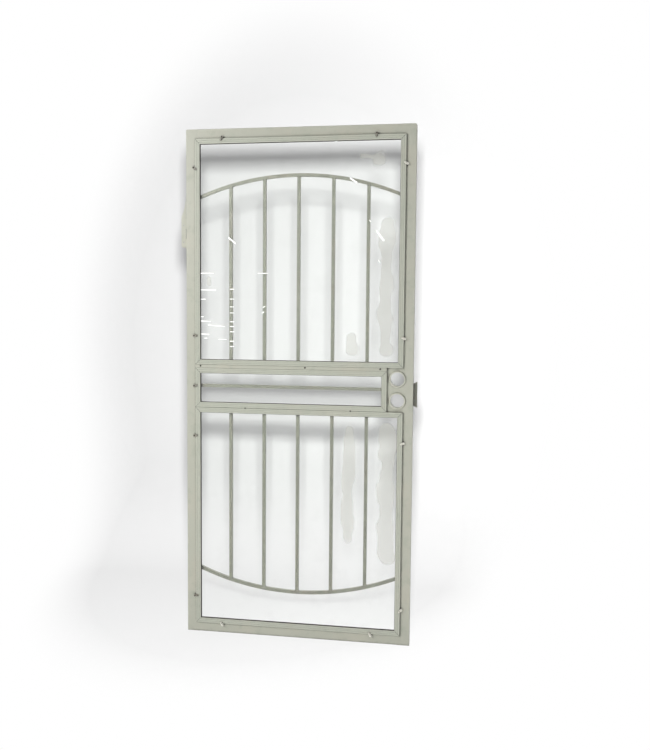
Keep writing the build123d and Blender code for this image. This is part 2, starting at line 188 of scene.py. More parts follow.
def place_group(tree, group, values):
    """Places a node group in a tree and fills its inputs."""
    return node(tree, "Group", values, node_tree=group).outputs


# %% [markdown]
# ## Soft patches in the paint
# Sprayed paint dries in patches a hand or two wide, a little warmer here and cooler there. An image of paint would
# repeat along the door, so two noises of different size choose the patches, and an amount says how strongly they
# show.

# %% Mottled paint
FINER = 5.3
mottle, given, gives = start_group(
    "Mottled Paint",
    [("Vector", "Vector", None), ("Paint", "Color", None), ("Warm", "Color", None), ("Cool", "Color", None),
     ("Patches per Metre", "Float", 6.0), ("Amount", "Float", 0.5)],
    [("Colour", "Color"), ("Tone", "Float")],
)
finer_scale = work_out(mottle, "MULTIPLY", given["Patches per Metre"], FINER)
warm_part = remap(mottle, noise(mottle, given["Vector"], given["Patches per Metre"], 3.0), 0.48, 0.66)
cool_part = remap(mottle, noise(mottle, given["Vector"], finer_scale, 4.0, Roughness=0.6), 0.5, 0.7)
warm_share = work_out(mottle, "MULTIPLY", warm_part, given["Amount"])
cool_share = work_out(mottle, "MULTIPLY", cool_part, given["Amount"])
warmed = mix_colour(mottle, warm_share, given["Paint"], given["Warm"])
mottle.links.new(mix_colour(mottle, cool_share, warmed, given["Cool"]), gives["Colour"])
mottle.links.new(cool_part, gives["Tone"])

# %% [markdown]
# ## Rubbed edges
# Hands and shoes rub paint thin on the edges, in short breaks and not in one line. A Bevel node bends the normal near
# an edge, so where the bent normal and the true one differ, an edge is close. Noise breaks that line up.

# %% Worn edges
worn_edge, given, gives = start_group(
    "Worn Edge",
    [("Vector", "Vector", None), ("Width", "Float", 0.0012), ("Amount", "Float", 0.5),
     ("Breaks per Metre", "Float", 60.0)],
    [("Mask", "Float")],
)
rounded = node(worn_edge, "Bevel", {"Radius": given["Width"]}, samples=4).outputs[0]
true_normal = node(worn_edge, "NewGeometry").outputs["Normal"]
alike = node(worn_edge, "VectorMath", {0: rounded, 1: true_normal}, operation="DOT_PRODUCT").outputs["Value"]
edge = remap(worn_edge, alike, 0.995, 0.9)
breaks = remap(worn_edge, noise(worn_edge, given["Vector"], given["Breaks per Metre"], 3.0), 0.42, 0.62)
broken = work_out(worn_edge, "MULTIPLY", edge, breaks)
worn_edge.links.new(work_out(worn_edge, "MULTIPLY", broken, given["Amount"]), gives["Mask"])

# %% [markdown]
# ## The paint's skin
# Sprayed paint has a skin like orange peel, and on upright faces it sags a little into long drips. A fine noise gives
# the peel, and a noise stretched upwards gives the drips. Their sum is a height for a Bump node, because it is far too
# small to model.

# %% Orange peel and drips
DRIPS_PER_METRE = (38.0, 38.0, 9.0)
paint_skin, given, gives = start_group(
    "Paint Skin",
    [("Vector", "Vector", None), ("Bumps per Metre", "Float", 420.0), ("Drips", "Float", 0.3)],
    [("Height", "Float")],
)
peel = noise(paint_skin, given["Vector"], given["Bumps per Metre"], 2.0)
stretched = node(paint_skin, "Mapping", {"Vector": given["Vector"], "Scale": DRIPS_PER_METRE}).outputs[0]
sag = work_out(paint_skin, "MULTIPLY", noise(paint_skin, stretched, 1.0, 2.0), given["Drips"])
paint_skin.links.new(work_out(paint_skin, "ADD", peel, sag), gives["Height"])

# %% [markdown]
# ## Dust on the ledges
# Dust settles on what faces up: the tops of the rails and of the clips. The Z part of the normal says how far a face
# looks up, and noise makes the dust drift.

# %% Settled dust
settled_dust, given, gives = start_group(
    "Settled Dust",
    [("Vector", "Vector", None), ("Amount", "Float", 0.5)],
    [("Mask", "Float")],
)
true_normal = node(settled_dust, "NewGeometry").outputs["Normal"]
facing_up = node(settled_dust, "SeparateXYZ", {"Vector": true_normal}).outputs["Z"]
ledge = remap(settled_dust, facing_up, 0.35, 0.95)
drift = remap(settled_dust, noise(settled_dust, given["Vector"], 28.0, 5.0), 0.3, 0.7)
patchy = work_out(settled_dust, "MULTIPLY", ledge, drift)
settled_dust.links.new(work_out(settled_dust, "MULTIPLY", patchy, given["Amount"]), gives["Mask"])

# %% [markdown]
# ## Painted shade in the corners
# The gap beside an insert, round a clip's foot and along a weld are darkened with painted shade. The Ambient
# Occlusion node tells how sheltered a point is within a given reach; noise keeps the dark line uneven.

# %% Painted corner shade
corner_shade_group, given, gives = start_group(
    "Painted Corner Shade",
    [("Vector", "Vector", None), ("Reach", "Float", 0.011), ("Amount", "Float", 0.6)],
    [("Mask", "Float")],
)
# Sheltered points are darkened: painted shade.
open_sky = node(corner_shade_group, "AmbientOcclusion", {"Distance": given["Reach"]}, samples=6).outputs["AO"]
tucked = remap(corner_shade_group, open_sky, 0.86, 0.42)
streaky = remap(corner_shade_group, noise(corner_shade_group, given["Vector"], 70.0, 3.0), 0.2, 0.6, 0.55, 1.0)
uneven = work_out(corner_shade_group, "MULTIPLY", tucked, streaky)
corner_shade_group.links.new(work_out(corner_shade_group, "MULTIPLY", uneven, given["Amount"]), gives["Mask"])

# %% [markdown]
# ## The satin paint
# The frame and its hinges wear one coat of pale sage-grey satin paint over steel. The insert frames are aluminium in
# the same colour, a touch lighter and smoother. The bars and arches get a darker paint, painted shade for how dim they
# look behind the glass. The collars are glossy, and their lighter paint is a painted highlight. The latch guard's
# darker paint is painted shade for the leaf's shadow on it. The clips along the top and the hinge edge get a dark
# paint, partly painted shade, whose bright edges are partly wear and partly painted highlights; those along the lock
# edge and the foot get a pale, glossier paint, painted light, screws and all. A material of its own could be drawn for
# each, but all are one recipe with different values, which keeps them alike, as one tin of paint would.

# %% Colours as they are seen, and an empty material
def srgb(red, green, blue):
    """A colour as it is seen on screen, from 0 to 255, as the linear light that Blender works in."""
    seen = np.array([red, green, blue]) / 255
    linear = np.where(seen <= 0.04045, seen / 12.92, ((seen + 0.055) / 1.055) ** 2.4)
    return (*linear.tolist(), 1.0)


def start_material(name):
    """An empty material with its tree, its Principled shader, its output and its Object coordinates."""
    material = bpy.data.materials.new(name)
    material.use_nodes = True
    tree = material.node_tree
    tree.nodes.clear()
    shader = node(tree, "BsdfPrincipled")
    out = node(tree, "OutputMaterial", {"Surface": shader.outputs[0]})
    print("material:", name)
    return material, tree, shader, out, node(tree, "TexCoord").outputs["Object"]


# %% The recipe for a painted finish
DUST = srgb(206, 202, 188)
# The dark brown of the painted shade in corners.
SHADE_COLOUR = srgb(56, 50, 43)
PEEL_DEPTH = 0.0006


def painted(name, paint, warm, cool, patches=5.0, amount=0.6, rough=(0.38, 0.52), wear=0.4, rubbed=(214, 213, 200),
            wear_width=0.0011, bumps=420.0, drips=0.3, bump=0.12, dust=0.35, corner_shade=0.9, breaks=60.0):
    """Satin paint: its mottled colour goes to the rubbed colour at worn edges, then to painted shade in the corners,
    then to dust on the ledges. The roughness follows the patches, and the skin raises a bump."""
    material, tree, shader, _, place = start_material(name)
    patchy = place_group(tree, mottle, {"Vector": place, "Paint": srgb(*paint), "Warm": srgb(*warm),
                                        "Cool": srgb(*cool), "Patches per Metre": patches, "Amount": amount})
    worn = place_group(tree, worn_edge, {"Vector": place, "Width": wear_width, "Amount": wear,
                                         "Breaks per Metre": breaks})["Mask"]
    shade_mask = place_group(tree, corner_shade_group, {"Vector": place, "Amount": corner_shade})["Mask"]
    dusty = place_group(tree, settled_dust, {"Vector": place, "Amount": dust})["Mask"]
    skin = place_group(tree, paint_skin, {"Vector": place, "Bumps per Metre": bumps, "Drips": drips})["Height"]
    edged = mix_colour(tree, worn, patchy["Colour"], srgb(*rubbed))
    # Painted shade darkens the colour in sheltered corners.
    shaded = mix_colour(tree, shade_mask, edged, SHADE_COLOUR)
    tree.links.new(mix_colour(tree, dusty, shaded, DUST), shader.inputs["Base Color"])
    tree.links.new(remap(tree, patchy["Tone"], 0.0, 1.0, *rough), shader.inputs["Roughness"])
    raised = node(tree, "Bump", {"Height": skin, "Strength": bump, "Distance": PEEL_DEPTH})
    tree.links.new(raised.outputs["Normal"], shader.inputs["Normal"])
    return material


# %% Paint for the frame, the inserts and the bars
frame_paint = painted("Frame Paint", (189, 190, 176), (195, 192, 177), (177, 181, 166))
insert_paint = painted("Insert Paint", (192, 195, 181), (197, 196, 182), (183, 188, 174), amount=0.5,
                       rough=(0.34, 0.46), bumps=520.0, bump=0.08)
# Darker than the frame: painted shade for how dim the bars look behind the glass.
shaded_bar_paint = painted("Bar Paint With Painted Shade", (136, 140, 123), (140, 137, 121), (125, 131, 114), patches=8.0, wear=0.1,
                    rubbed=(158, 160, 143), bump=0.06, corner_shade=0.35)

# %% Paint for the small parts
# Dark paint, partly painted shade; its bright worn edges are partly wear and partly painted highlights.
clip_paint = painted("Clip Paint", (146, 144, 132), (150, 142, 128), (130, 131, 120), patches=40.0, wear=1.0,
                     rubbed=(236, 234, 224), wear_width=0.0012, breaks=180.0, drips=0.1, bump=0.08)
# Pale, glossy clip paint: painted light, for the clips on the lock edge and the foot.
lit_clip_paint = painted("Clip Paint With Painted Light", (238, 237, 226), (234, 230, 218), (226, 227, 215), patches=40.0,
                            rough=(0.22, 0.3), wear=0.9, rubbed=(246, 245, 238), wear_width=0.0012, breaks=180.0,
                            drips=0.1, bump=0.08, corner_shade=0.35)
# Glossy paint, and lighter than the frame: a painted highlight.
lit_collar_paint = painted("Collar Paint With Painted Highlight", (202, 202, 188), (206, 202, 188), (192, 195, 180), patches=20.0, wear=0.5,
                       rubbed=(228, 227, 216), rough=(0.16, 0.24), bump=0.04)
# Darker than the frame: painted shade for the leaf's shadow on the guard.
shaded_guard_paint = painted("Guard Paint With Painted Shade", (150, 151, 139), (152, 144, 130), (134, 137, 125), patches=24.0, wear=0.7,
                      rubbed=(176, 174, 160))
pin_paint = painted("Pin Paint", (182, 181, 166), (176, 165, 148), (164, 166, 150), patches=60.0, wear=0.9,
                    rubbed=(150, 138, 122), wear_width=0.0008)

# %% [markdown]
# ## Glass
# The three sheets are clear float glass, 3 mm thick. A Principled shader with full transmission bends and reflects
# light. Light from the lamps would find glass opaque in a path tracer, so for shadow rays a Transparent shader takes
# its place, and the paper behind the door stays lit.

# %% Clear glass
GLASS_TINT = (0.98, 0.985, 0.98, 1.0)
SHADOW_TINT = (0.955, 0.965, 0.955, 1.0)
clear_glass, tree, shader, out, _ = start_material("Clear Glass")
shader.inputs["Base Color"].default_value = GLASS_TINT
shader.inputs["Transmission Weight"].default_value = 1.0
shader.inputs["Roughness"].default_value = 0.02
shader.inputs["IOR"].default_value = 1.5
through = node(tree, "BsdfTransparent", {"Color": SHADOW_TINT})
in_shadow = node(tree, "LightPath").outputs["Is Shadow Ray"]
blend = node(tree, "MixShader", {0: in_shadow, 1: shader.outputs[0], 2: through.outputs[0]})
tree.links.new(blend.outputs[0], out.inputs["Surface"])

# %% [markdown]
# ## Vinyl
# A dark vinyl strip seals each sheet of glass in its frame, and shows as a thin dark line beside the glass. The groups
# for paint make it too: it is mottled, dusty and faintly rough, only darker and on a finer scale.

# %% Dark vinyl
vinyl, tree, shader, _, place = start_material("Glazing Vinyl")
tone = place_group(tree, mottle, {"Vector": place, "Paint": srgb(48, 39, 35), "Warm": srgb(62, 49, 41),
                                  "Cool": srgb(38, 34, 32), "Patches per Metre": 30.0, "Amount": 0.7})
dusty = place_group(tree, settled_dust, {"Vector": place, "Amount": 0.2})["Mask"]
tree.links.new(mix_colour(tree, dusty, tone["Colour"], srgb(120, 112, 100)), shader.inputs["Base Color"])
tree.links.new(remap(tree, tone["Tone"], 0.0, 1.0, 0.5, 0.7), shader.inputs["Roughness"])
skin = place_group(tree, paint_skin, {"Vector": place, "Bumps per Metre": 900.0, "Drips": 0.0})["Height"]
raised = node(tree, "Bump", {"Height": skin, "Strength": 0.15, "Distance": 0.0004})
tree.links.new(raised.outputs["Normal"], shader.inputs["Normal"])

# %% [markdown]
# ## Plated steel
# The screws are plated steel that has dulled to brown. A little metal in the shader keeps a soft glint, and worn edges
# show where a screwdriver has slipped.

# %% Dull plated steel
screw_steel, tree, shader, _, place = start_material("Screw Steel")
tone = place_group(tree, mottle, {"Vector": place, "Paint": srgb(66, 62, 54), "Warm": srgb(70, 60, 50),
                                  "Cool": srgb(52, 52, 48), "Patches per Metre": 150.0, "Amount": 0.9})
worn = place_group(tree, worn_edge, {"Vector": place, "Width": 0.0005, "Amount": 0.7,
                                     "Breaks per Metre": 400.0})["Mask"]
tree.links.new(mix_colour(tree, worn, tone["Colour"], srgb(120, 116, 106)), shader.inputs["Base Color"])
tree.links.new(remap(tree, tone["Tone"], 0.0, 1.0, 0.45, 0.65), shader.inputs["Roughness"])
shader.inputs["Metallic"].default_value = 0.4

# %% [markdown]
# ## Every CAD node gets its finish
# The record says which slot each node belongs to. One dictionary from slot to material dresses them all, a second one
# names the few nodes with a finish of their own, and the meshes stay untouched.

# %% Dress the CAD nodes
FINISH = {
    "frame_paint": frame_paint,
    "insert_paint": insert_paint,
    "clip_paint": clip_paint,
    "pin_paint": pin_paint,
    "glass": clear_glass,
}
# The bars and arches take a darker paint, painted shade, and so does the latch guard; the clips on the lock edge and
# the foot take a pale paint, painted light.
BEHIND_GLASS = ("upper_bars", "lower_bars", "middle_bar", "upper_arch_bar", "lower_arch_bar")
# The clips on these rows take the pale clip paint, painted light.
LIT_ROWS = ("lock_side_clip", "bottom_clip")
OWN_FINISH = dict.fromkeys(BEHIND_GLASS, shaded_bar_paint) | {"latch_guard": shaded_guard_paint}
OWN_FINISH |= {name: lit_clip_paint for name in frame["nodes"] if name.startswith(LIT_ROWS)}
slot_of = {part["node"]: part["material_slot"] for part in frame["record"]["subparts"]}
for name, piece in frame["nodes"].items():
    for holder in piece.material_slots:
        holder.material = OWN_FINISH.get(name, FINISH[slot_of[name]])
print("dressed:", len(slot_of), "of them with a finish of their own:", len(OWN_FINISH))

# %% [markdown]
# ## Weld beads
# Each bar is welded all the way round where it meets a tube or an arch. A real bead is a thin ridge that rises and
# falls with every small puddle of metal. A circle carried round the joint does it, with a radius that ripples along
# the way; half of it sinks into the corner, so only the ridge shows. A Curve with a bevel would give the ridge too, but
# not the puddles.

# %% A rippled bead round a closed path
PUDDLE_SWELL, SLOW_SWELL, SLOW_WAVE = 0.13, 0.1, 13.0


def bead(path, radius=1.7, ripple=2.4, sides=9):
    """A circle carried round a closed path. At a distance s along it the radius is r (1 + 0.13 sin(2 pi s / ripple)
    + 0.1 sin(2 pi s / 13)), and the circle's plane stands square to the path's direction."""
    ahead = np.roll(path, -1, axis=0) - path
    s = np.concatenate([[0.0], np.cumsum(np.linalg.norm(ahead, axis=1))[:-1]])
    along = np.roll(path, -1, axis=0) - np.roll(path, 1, axis=0)
    along /= np.linalg.norm(along, axis=1)[:, None]
    first = np.cross(along, path - path.mean(axis=0))
    first /= np.linalg.norm(first, axis=1)[:, None]
    second = np.cross(along, first)
    waves = PUDDLE_SWELL * np.sin(2 * np.pi * s / ripple) + SLOW_SWELL * np.sin(2 * np.pi * s / SLOW_WAVE)
    turn = np.linspace(0, 2 * np.pi, sides + 1)
    ring = np.cos(turn)[None, :, None] * first[:, None, :] + np.sin(turn)[None, :, None] * second[:, None, :]
    grid = path[:, None, :] + (radius * (1 + waves))[:, None, None] * ring
    return on_leaf(np.concatenate([grid, grid[:1]]))


def square_loop(half_u, half_v, steps=72, too_wide=1.35):
    """A way round a square bar: a circle 1.35 times too wide, cut off flat at the bar's four faces."""
    turn = np.linspace(0, 2 * np.pi, steps, endpoint=False)
    return half_u * np.clip(too_wide * np.cos(turn), -1, 1), half_v * np.clip(too_wide * np.sin(turn), -1, 1)


# %% [markdown]
# ## Where the bars meet the frame and the arches
# Five bars stand on each middle rail and end under an arch, so a bead there follows the arch's inner face. The level
# bar and the arches end on the stiles; an arch arrives at a slant, which makes its bead taller than it is deep.

# %% Sizes of the bars and arches
BAR, BAR_PITCH = 12.7, 137.5
BAR_MIDDLES = MIDDLE_X + (np.arange(5) - 2) * BAR_PITCH
STILE, LOCK_BOX_EDGE = 50.8, 799.7
MIDDLE_BAR_HEIGHT = 1016.0
UPPER_BARS_FOOT, LOWER_BARS_TOP = 1113.5, 916.3
UPPER_SPRING, LOWER_SPRING = 1765.0, 268.0
HALF_SPAN, ARCH_RISE = 406.2, 83.0
ARCH_RADIUS = (HALF_SPAN**2 + ARCH_RISE**2) / (2 * ARCH_RISE)
UPPER_CENTRE = UPPER_SPRING + ARCH_RISE - ARCH_RADIUS
LOWER_CENTRE = LOWER_SPRING - ARCH_RISE + ARCH_RADIUS
INSIDE_ARCH = ARCH_RADIUS - BAR / 2
print("arch radius in millimetres:", round(ARCH_RADIUS, 1))


def arch_height(x, centre, side):
    """The height of an arch's inner face at x: its centre plus, or minus for the lower arch, the root of the
    radius squared less the distance from the middle squared."""
    return centre + side * np.sqrt(INSIDE_ARCH**2 - (x - MIDDLE_X) ** 2)


# %% Beads at the bars' ends
u, v = square_loop(BAR / 2, BAR / 2)
bar_beads = []
for middle in BAR_MIDDLES:
    x, y = middle + u, MIDDLE_Y + v
    foot, top = np.full_like(x, UPPER_BARS_FOOT), np.full_like(x, LOWER_BARS_TOP)
    for height in (foot, arch_height(x, UPPER_CENTRE, 1), top, arch_height(x, LOWER_CENTRE, -1)):
        bar_beads.append(bead(np.stack([x, y, height], axis=1)))
slant = BAR / 2 / np.sqrt(1 - (HALF_SPAN / ARCH_RADIUS) ** 2)
for x_end, height, half in (
    (STILE, MIDDLE_BAR_HEIGHT, BAR / 2), (LOCK_BOX_EDGE, MIDDLE_BAR_HEIGHT, BAR / 2), (STILE, UPPER_SPRING, slant),
    (LEAF_WIDTH - STILE, UPPER_SPRING, slant), (STILE, LOWER_SPRING, slant), (LEAF_WIDTH - STILE, LOWER_SPRING, slant),
):
    y, z = square_loop(BAR / 2, half)
    bar_beads.append(bead(np.stack([np.full_like(y, x_end), MIDDLE_Y + y, height + z], axis=1)))
# The beads take the darker bar paint, painted shade.
build("bar_weld_beads", bar_beads, shaded_bar_paint, "leaf", sharp=60.0)

# %% [markdown]
# ## Welds on the outside
# The hinges' leaf plates and the latch guard are welded to the outside face. Their beads follow a rectangle with round
# corners. The plates' beads are centred a fifth of a millimetre off the face, and the guard's as far inside it.

# %% Beads round the hinge plates and the latch guard
HINGE_HEIGHTS = (1625.0, 1016.0, 407.0)
PLATE_X, PLATE_HALF_HEIGHT, PLATE_CORNER = (6.0, 42.0), 60.0, 8.0
GUARD_OUTLINE, GUARD_CORNER = (891.5, 912.5, 952.5, 1041.5), 1.5
POINT_GAP, OFF_FACE = 0.8, 0.2


def plate_loop(x_low, x_high, z_low, z_high, radius, steps=14):
    """A way round a rectangle with round corners: four quarter circles in turn, joined by straight runs of points
    about 0.8 mm apart."""
    turn = np.linspace(0, np.pi / 2, steps)
    centres = ((x_high - radius, z_high - radius), (x_low + radius, z_high - radius), (x_low + radius, z_low + radius),
               (x_high - radius, z_low + radius))
    arcs = [np.stack([x + radius * np.cos(turn + k * np.pi / 2), z + radius * np.sin(turn + k * np.pi / 2)], axis=1)
            for k, (x, z) in enumerate(centres)]
    path = []
    for arc, following in zip(arcs, arcs[1:] + arcs[:1]):
        count = max(3, int(np.linalg.norm(following[0] - arc[-1]) / POINT_GAP))
        path += [arc, np.linspace(arc[-1], following[0], count)[1:-1]]
    return np.concatenate(path)


plates = [plate_loop(*PLATE_X, z - PLATE_HALF_HEIGHT, z + PLATE_HALF_HEIGHT, PLATE_CORNER) for z in HINGE_HEIGHTS]
outside_beads = [bead(np.insert(plate, 1, LEAF_DEPTH + OFF_FACE, axis=1), radius=1.4) for plate in plates]
guard = plate_loop(*GUARD_OUTLINE, GUARD_CORNER, steps=5)
outside_beads.append(bead(np.insert(guard, 1, LEAF_DEPTH - OFF_FACE, axis=1), radius=1.3))
build("outside_weld_beads", outside_beads, frame_paint, "leaf", sharp=60.0)

# %% [markdown]
# ## Glazing gaskets
# A wedge of dark vinyl is pushed in between the glass and its frame, on both faces. Its section is carried round the
# rectangle of the frame, with mitred corners: a point that lies u inside the frame's edge moves in by u along both
# sides at each corner.

# %% A wedge round each sheet of glass
RAIL_WIDTH = 20.0
INSERTS = {
    "lower": (38.6, 875.4, 38.6, 928.5),
    "middle": (38.6, 811.9, 929.5, 1087.6),
    "upper": (38.6, 875.4, 1101.3, 1993.4),
}
CORNERS = np.array([[0, 0], [1, 0], [1, 1], [0, 1], [0, 0]])
ROOM_WEDGE = np.array([(-0.6, -1.0), (1.6, -1.0), (1.7, -1.6), (1.2, -2.8), (1.0, -5.8), (0.5, -6.4), (-0.6, -6.4),
                       (-0.6, -1.0)])
BACK_WEDGE = np.array([(-0.6, 2.0), (-0.6, 3.8), (0.4, 3.8), (1.3, 3.3), (1.8, 2.5), (1.9, 2.0), (-0.6, 2.0)])


def round_frame(limits, inset, depth):
    """A section carried round a rectangle: at each corner the point is the corner moved inwards by the inset in X
    and in Z, and set at its depth in Y."""
    x_low, x_high, z_low, z_high = limits
    x = np.where(CORNERS[:, 0], x_high - inset[:, None], x_low + inset[:, None])
    z = np.where(CORNERS[:, 1], z_high - inset[:, None], z_low + inset[:, None])
    return on_leaf(np.stack([x, np.broadcast_to(depth[:, None], x.shape), z], axis=-1))


for name, limits in INSERTS.items():
    wedges = [round_frame(limits, RAIL_WIDTH + wedge[:, 0], wedge[:, 1]) for wedge in (ROOM_WEDGE, BACK_WEDGE)]
    build(f"{name}_gasket", wedges, vinyl, "leaf")

# %% [markdown]
# ## Mitre seams
# Where two rails of an insert frame meet at 45 degrees, paint bridges the joint and then cracks, and dirt settles in
# the crack. A ribbon a millimetre wide shows it. It follows the rail's own section along the diagonal: a point that
# lies w inside one edge lies w inside the other too. A line in the paint could show it, but only a ribbon follows
# the grooves.

# %% A ribbon along each mitre
RAIL_FACE = np.array([(0.0, -6.9), (1.1, -8.0), (6.2, -8.0), (7.0, -7.3), (7.8, -8.0), (13.2, -8.0), (14.0, -7.3),
                      (14.8, -8.0), (18.9, -8.0), (20.0, -6.9)])


def mitre_ribbon(corner, way, half=0.5, lift=0.06):
    """From a corner inwards: a profile point (w, y) goes to corner + w (a, b), with a and b the inward signs, and the
    ribbon's two sides lie half a width off, square to that diagonal, a hair above the paint."""
    w, depth = RAIL_FACE[:, 0], RAIL_FACE[:, 1] - lift
    side = np.array([-1.0, 1.0]) * half / np.sqrt(2)
    x = corner[0] + way[0] * w[:, None] + way[1] * side[None, :]
    z = corner[1] + way[1] * w[:, None] - way[0] * side[None, :]
    return on_leaf(np.stack([x, depth[:, None] + 0 * x, z], axis=-1))


for name, (x_low, x_high, z_low, z_high) in INSERTS.items():
    sides, ends = ((x_low, 1), (x_high, -1)), ((z_low, 1), (z_high, -1))
    ribbons = [mitre_ribbon((x, z), (a, b)) for x, a in sides for z, b in ends]
    seam = build(f"{name}_mitre_seams", ribbons, vinyl, "leaf", closed=False)
    print("  faces the room:", all(face.normal.y < 0 for face in seam.data.polygons))

# %% [markdown]
# ## Screws
# Pan-head screws with a cross recess hold the clamp strip, the seam between two inserts and every clip. The head is
# turned on a lathe in real life, so here it is a height over a disc: a dome, less a cross-shaped pit whose walls
# slope. Cutting the cross with a Boolean would work too, but leaves a ragged mesh.

# %% A pan head as a height over a disc
ARM_HALF, ARM_END, ARM_RUNOUT, PIT_DEPTH, SUNK = 0.16, 0.66, 0.12, 0.62, 0.3


def pan_head(x, y, z, radius=3.4, height=2.0, turn=0.0, rings=22, spokes=48):
    """Over a disc of radius R the dome is h (1 - (r/R)^3)^(1/2), less a pit 0.62 h deep. The pit's depth falls off
    with the distance from the nearer arm of a cross, and along an arm it runs out from 0.54 R to 0.66 R. The head
    faces the room, and its foot closes to a point in its middle."""
    r = radius * np.sin(np.linspace(0, np.pi / 2, rings))[:, None]
    angle = np.linspace(0, 2 * np.pi, spokes + 1)[None, :]
    dome = height * np.sqrt(np.clip(1 - (r / radius) ** 3, 0, 1)) + 0 * angle
    across, along = r * np.cos(angle), r * np.sin(angle)
    arm = np.minimum(np.abs(across), np.abs(along)) / (ARM_HALF * radius)
    reach = np.clip((ARM_END * radius - r) / (ARM_RUNOUT * radius), 0, 1)
    rise = dome - PIT_DEPTH * height * np.clip(1.5 - arm, 0, 1) * reach
    c, s = np.cos(turn), np.sin(turn)
    grid = np.stack([x + c * across - s * along, y - rise, z + s * across + c * along], axis=-1)
    foot = grid[-1:].copy()
    foot[..., 1] = y + SUNK
    middle = np.stack([foot[..., 0] * 0 + x, foot[..., 1], foot[..., 2] * 0 + z], axis=-1)
    return on_leaf(np.concatenate([grid, foot, middle]))


# %% Screws of the clamp strip and the seam
RAIL_TOP = -8.0
STRIP_HEIGHT, STRIP_SPOTS = 1096.0, ((60.0, 0.3), (488.0, 1.1), (786.0, 0.7))
SEAM_HEIGHT, SEAM_SPOTS = 929.0, ((245.0, 0.5), (670.0, 0.1))
strip_screws = [pan_head(x, RAIL_TOP, STRIP_HEIGHT, turn=turn) for x, turn in STRIP_SPOTS]
seam_screws = [pan_head(x, RAIL_TOP, SEAM_HEIGHT, radius=3.0, height=1.7, turn=turn) for x, turn in SEAM_SPOTS]
build("strip_screws", strip_screws, screw_steel, "leaf")
build("seam_screws", seam_screws, screw_steel, "leaf")

# %% [markdown]
# ## A screw on each clip's pivot
# Each clip turns about its own screw, so the screw rides on the clip's body and turns with it. Its cross stands at
# twice the clip's own turn, so that the heads don't all look alike. On the clips with the pale paint, painted light,
# the screws wear that paint too.

# %% Screws of the clips
CLIP_FACE = -10.5
TOP_ROW, FOOT_ROW, HINGE_ROW, LOCK_ROW = 1998.6, 33.4, 33.4, 880.6
CLIP_SPOTS = {
    "top_clip": ((150.0, TOP_ROW, -20.0), (762.0, TOP_ROW, -6.0)),
    "bottom_clip": ((150.0, FOOT_ROW, 28.0), (760.0, FOOT_ROW, 33.0)),
    "hinge_side_clip": ((HINGE_ROW, 1882.0, -35.0), (HINGE_ROW, 1217.0, 0.0), (HINGE_ROW, 1015.0, 9.0),
                        (HINGE_ROW, 812.0, 9.0), (HINGE_ROW, 150.0, 6.0)),
    "lock_side_clip": ((LOCK_ROW, 1881.0, -25.0), (LOCK_ROW, 1215.0, -15.0), (LOCK_ROW, 808.0, 16.0),
                       (LOCK_ROW, 145.0, 42.0)),
}
for row, spots in CLIP_SPOTS.items():
    # Screws on the lock edge and foot get the pale clip paint, painted light; the rest are dull steel.
    finish = lit_clip_paint if row in LIT_ROWS else screw_steel
    for number, (x, z, turned) in enumerate(spots, 1):
        head = pan_head(x, CLIP_FACE, z, radius=2.9, height=1.5, turn=radians(turned * 2))
        build(f"{row}_{number}_screw", [head], finish, f"{row}_{number}")

# %% [markdown]
# ## Rolled collars on the lock bores
# The sleeves in the lock bores end in collars that are rolled over, smooth and round. The CAD collar has flat bevels,
# so a turned ring of the same size lies over each: a rounded section, revolved about the bore. A Screw modifier would
# turn it as well; worked out as a grid, the ring needs nothing applied.

# %% Turned rings over the collars
BORE_X, BORE_HEIGHTS = 852.5, (1057.5, 973.0)
CREST_RADIUS, CREST_HALF, CREST_BASE, CREST_RISE = 29.35, 2.5, 4.0, 2.4
SKIRT = np.array([(32.6, 2.9), (33.6, 1.7), (34.4, 0.7), (35.0, -0.2), (26.85, -0.2)])


def turned_ring(z, face, way, steps=96):
    """A section revolved about the bore's axis: its radius and height are carried round the full turn. The way is
    -1 towards the room and 1 towards the outside."""
    lip = np.linspace(0, np.pi, 13)
    crest = np.stack([CREST_RADIUS - CREST_HALF * np.cos(lip), CREST_BASE + CREST_RISE * np.sin(lip)], axis=1)
    section = np.concatenate([crest, SKIRT, crest[:1]])
    angle = np.linspace(0, 2 * np.pi, steps + 1)[None, :]
    radius, rise = section[:, :1], section[:, 1:]
    x, height = BORE_X + radius * np.cos(angle), z + radius * np.sin(angle)
    return on_leaf(np.stack([x, face + way * (rise + 0 * angle), height], axis=-1))


rings = [turned_ring(z, *side) for z in BORE_HEIGHTS for side in ((0.0, -1), (LEAF_DEPTH, 1))]
# The rings take the lighter collar paint, a painted highlight.
build("bore_collar_rings", rings, lit_collar_paint, "leaf", sharp=50.0)

# %% [markdown]
# ## Dried smears and painted glints on the glass
# The panes have been wiped and not rinsed: pale patches of haze show against anything dark behind them. A few bright
# streaks are painted reflections, glints that glow. All are a film a quarter of a millimetre in front of the glass,
# clear except where a mark lies. Each mark is one use of a node group: a straight line with round ends and a width of
# its own, whose rim is broken by noise. Short thin ones make the glints, and long wide ones the haze. Marks could be
# painted on an image, but then they would blur close up.

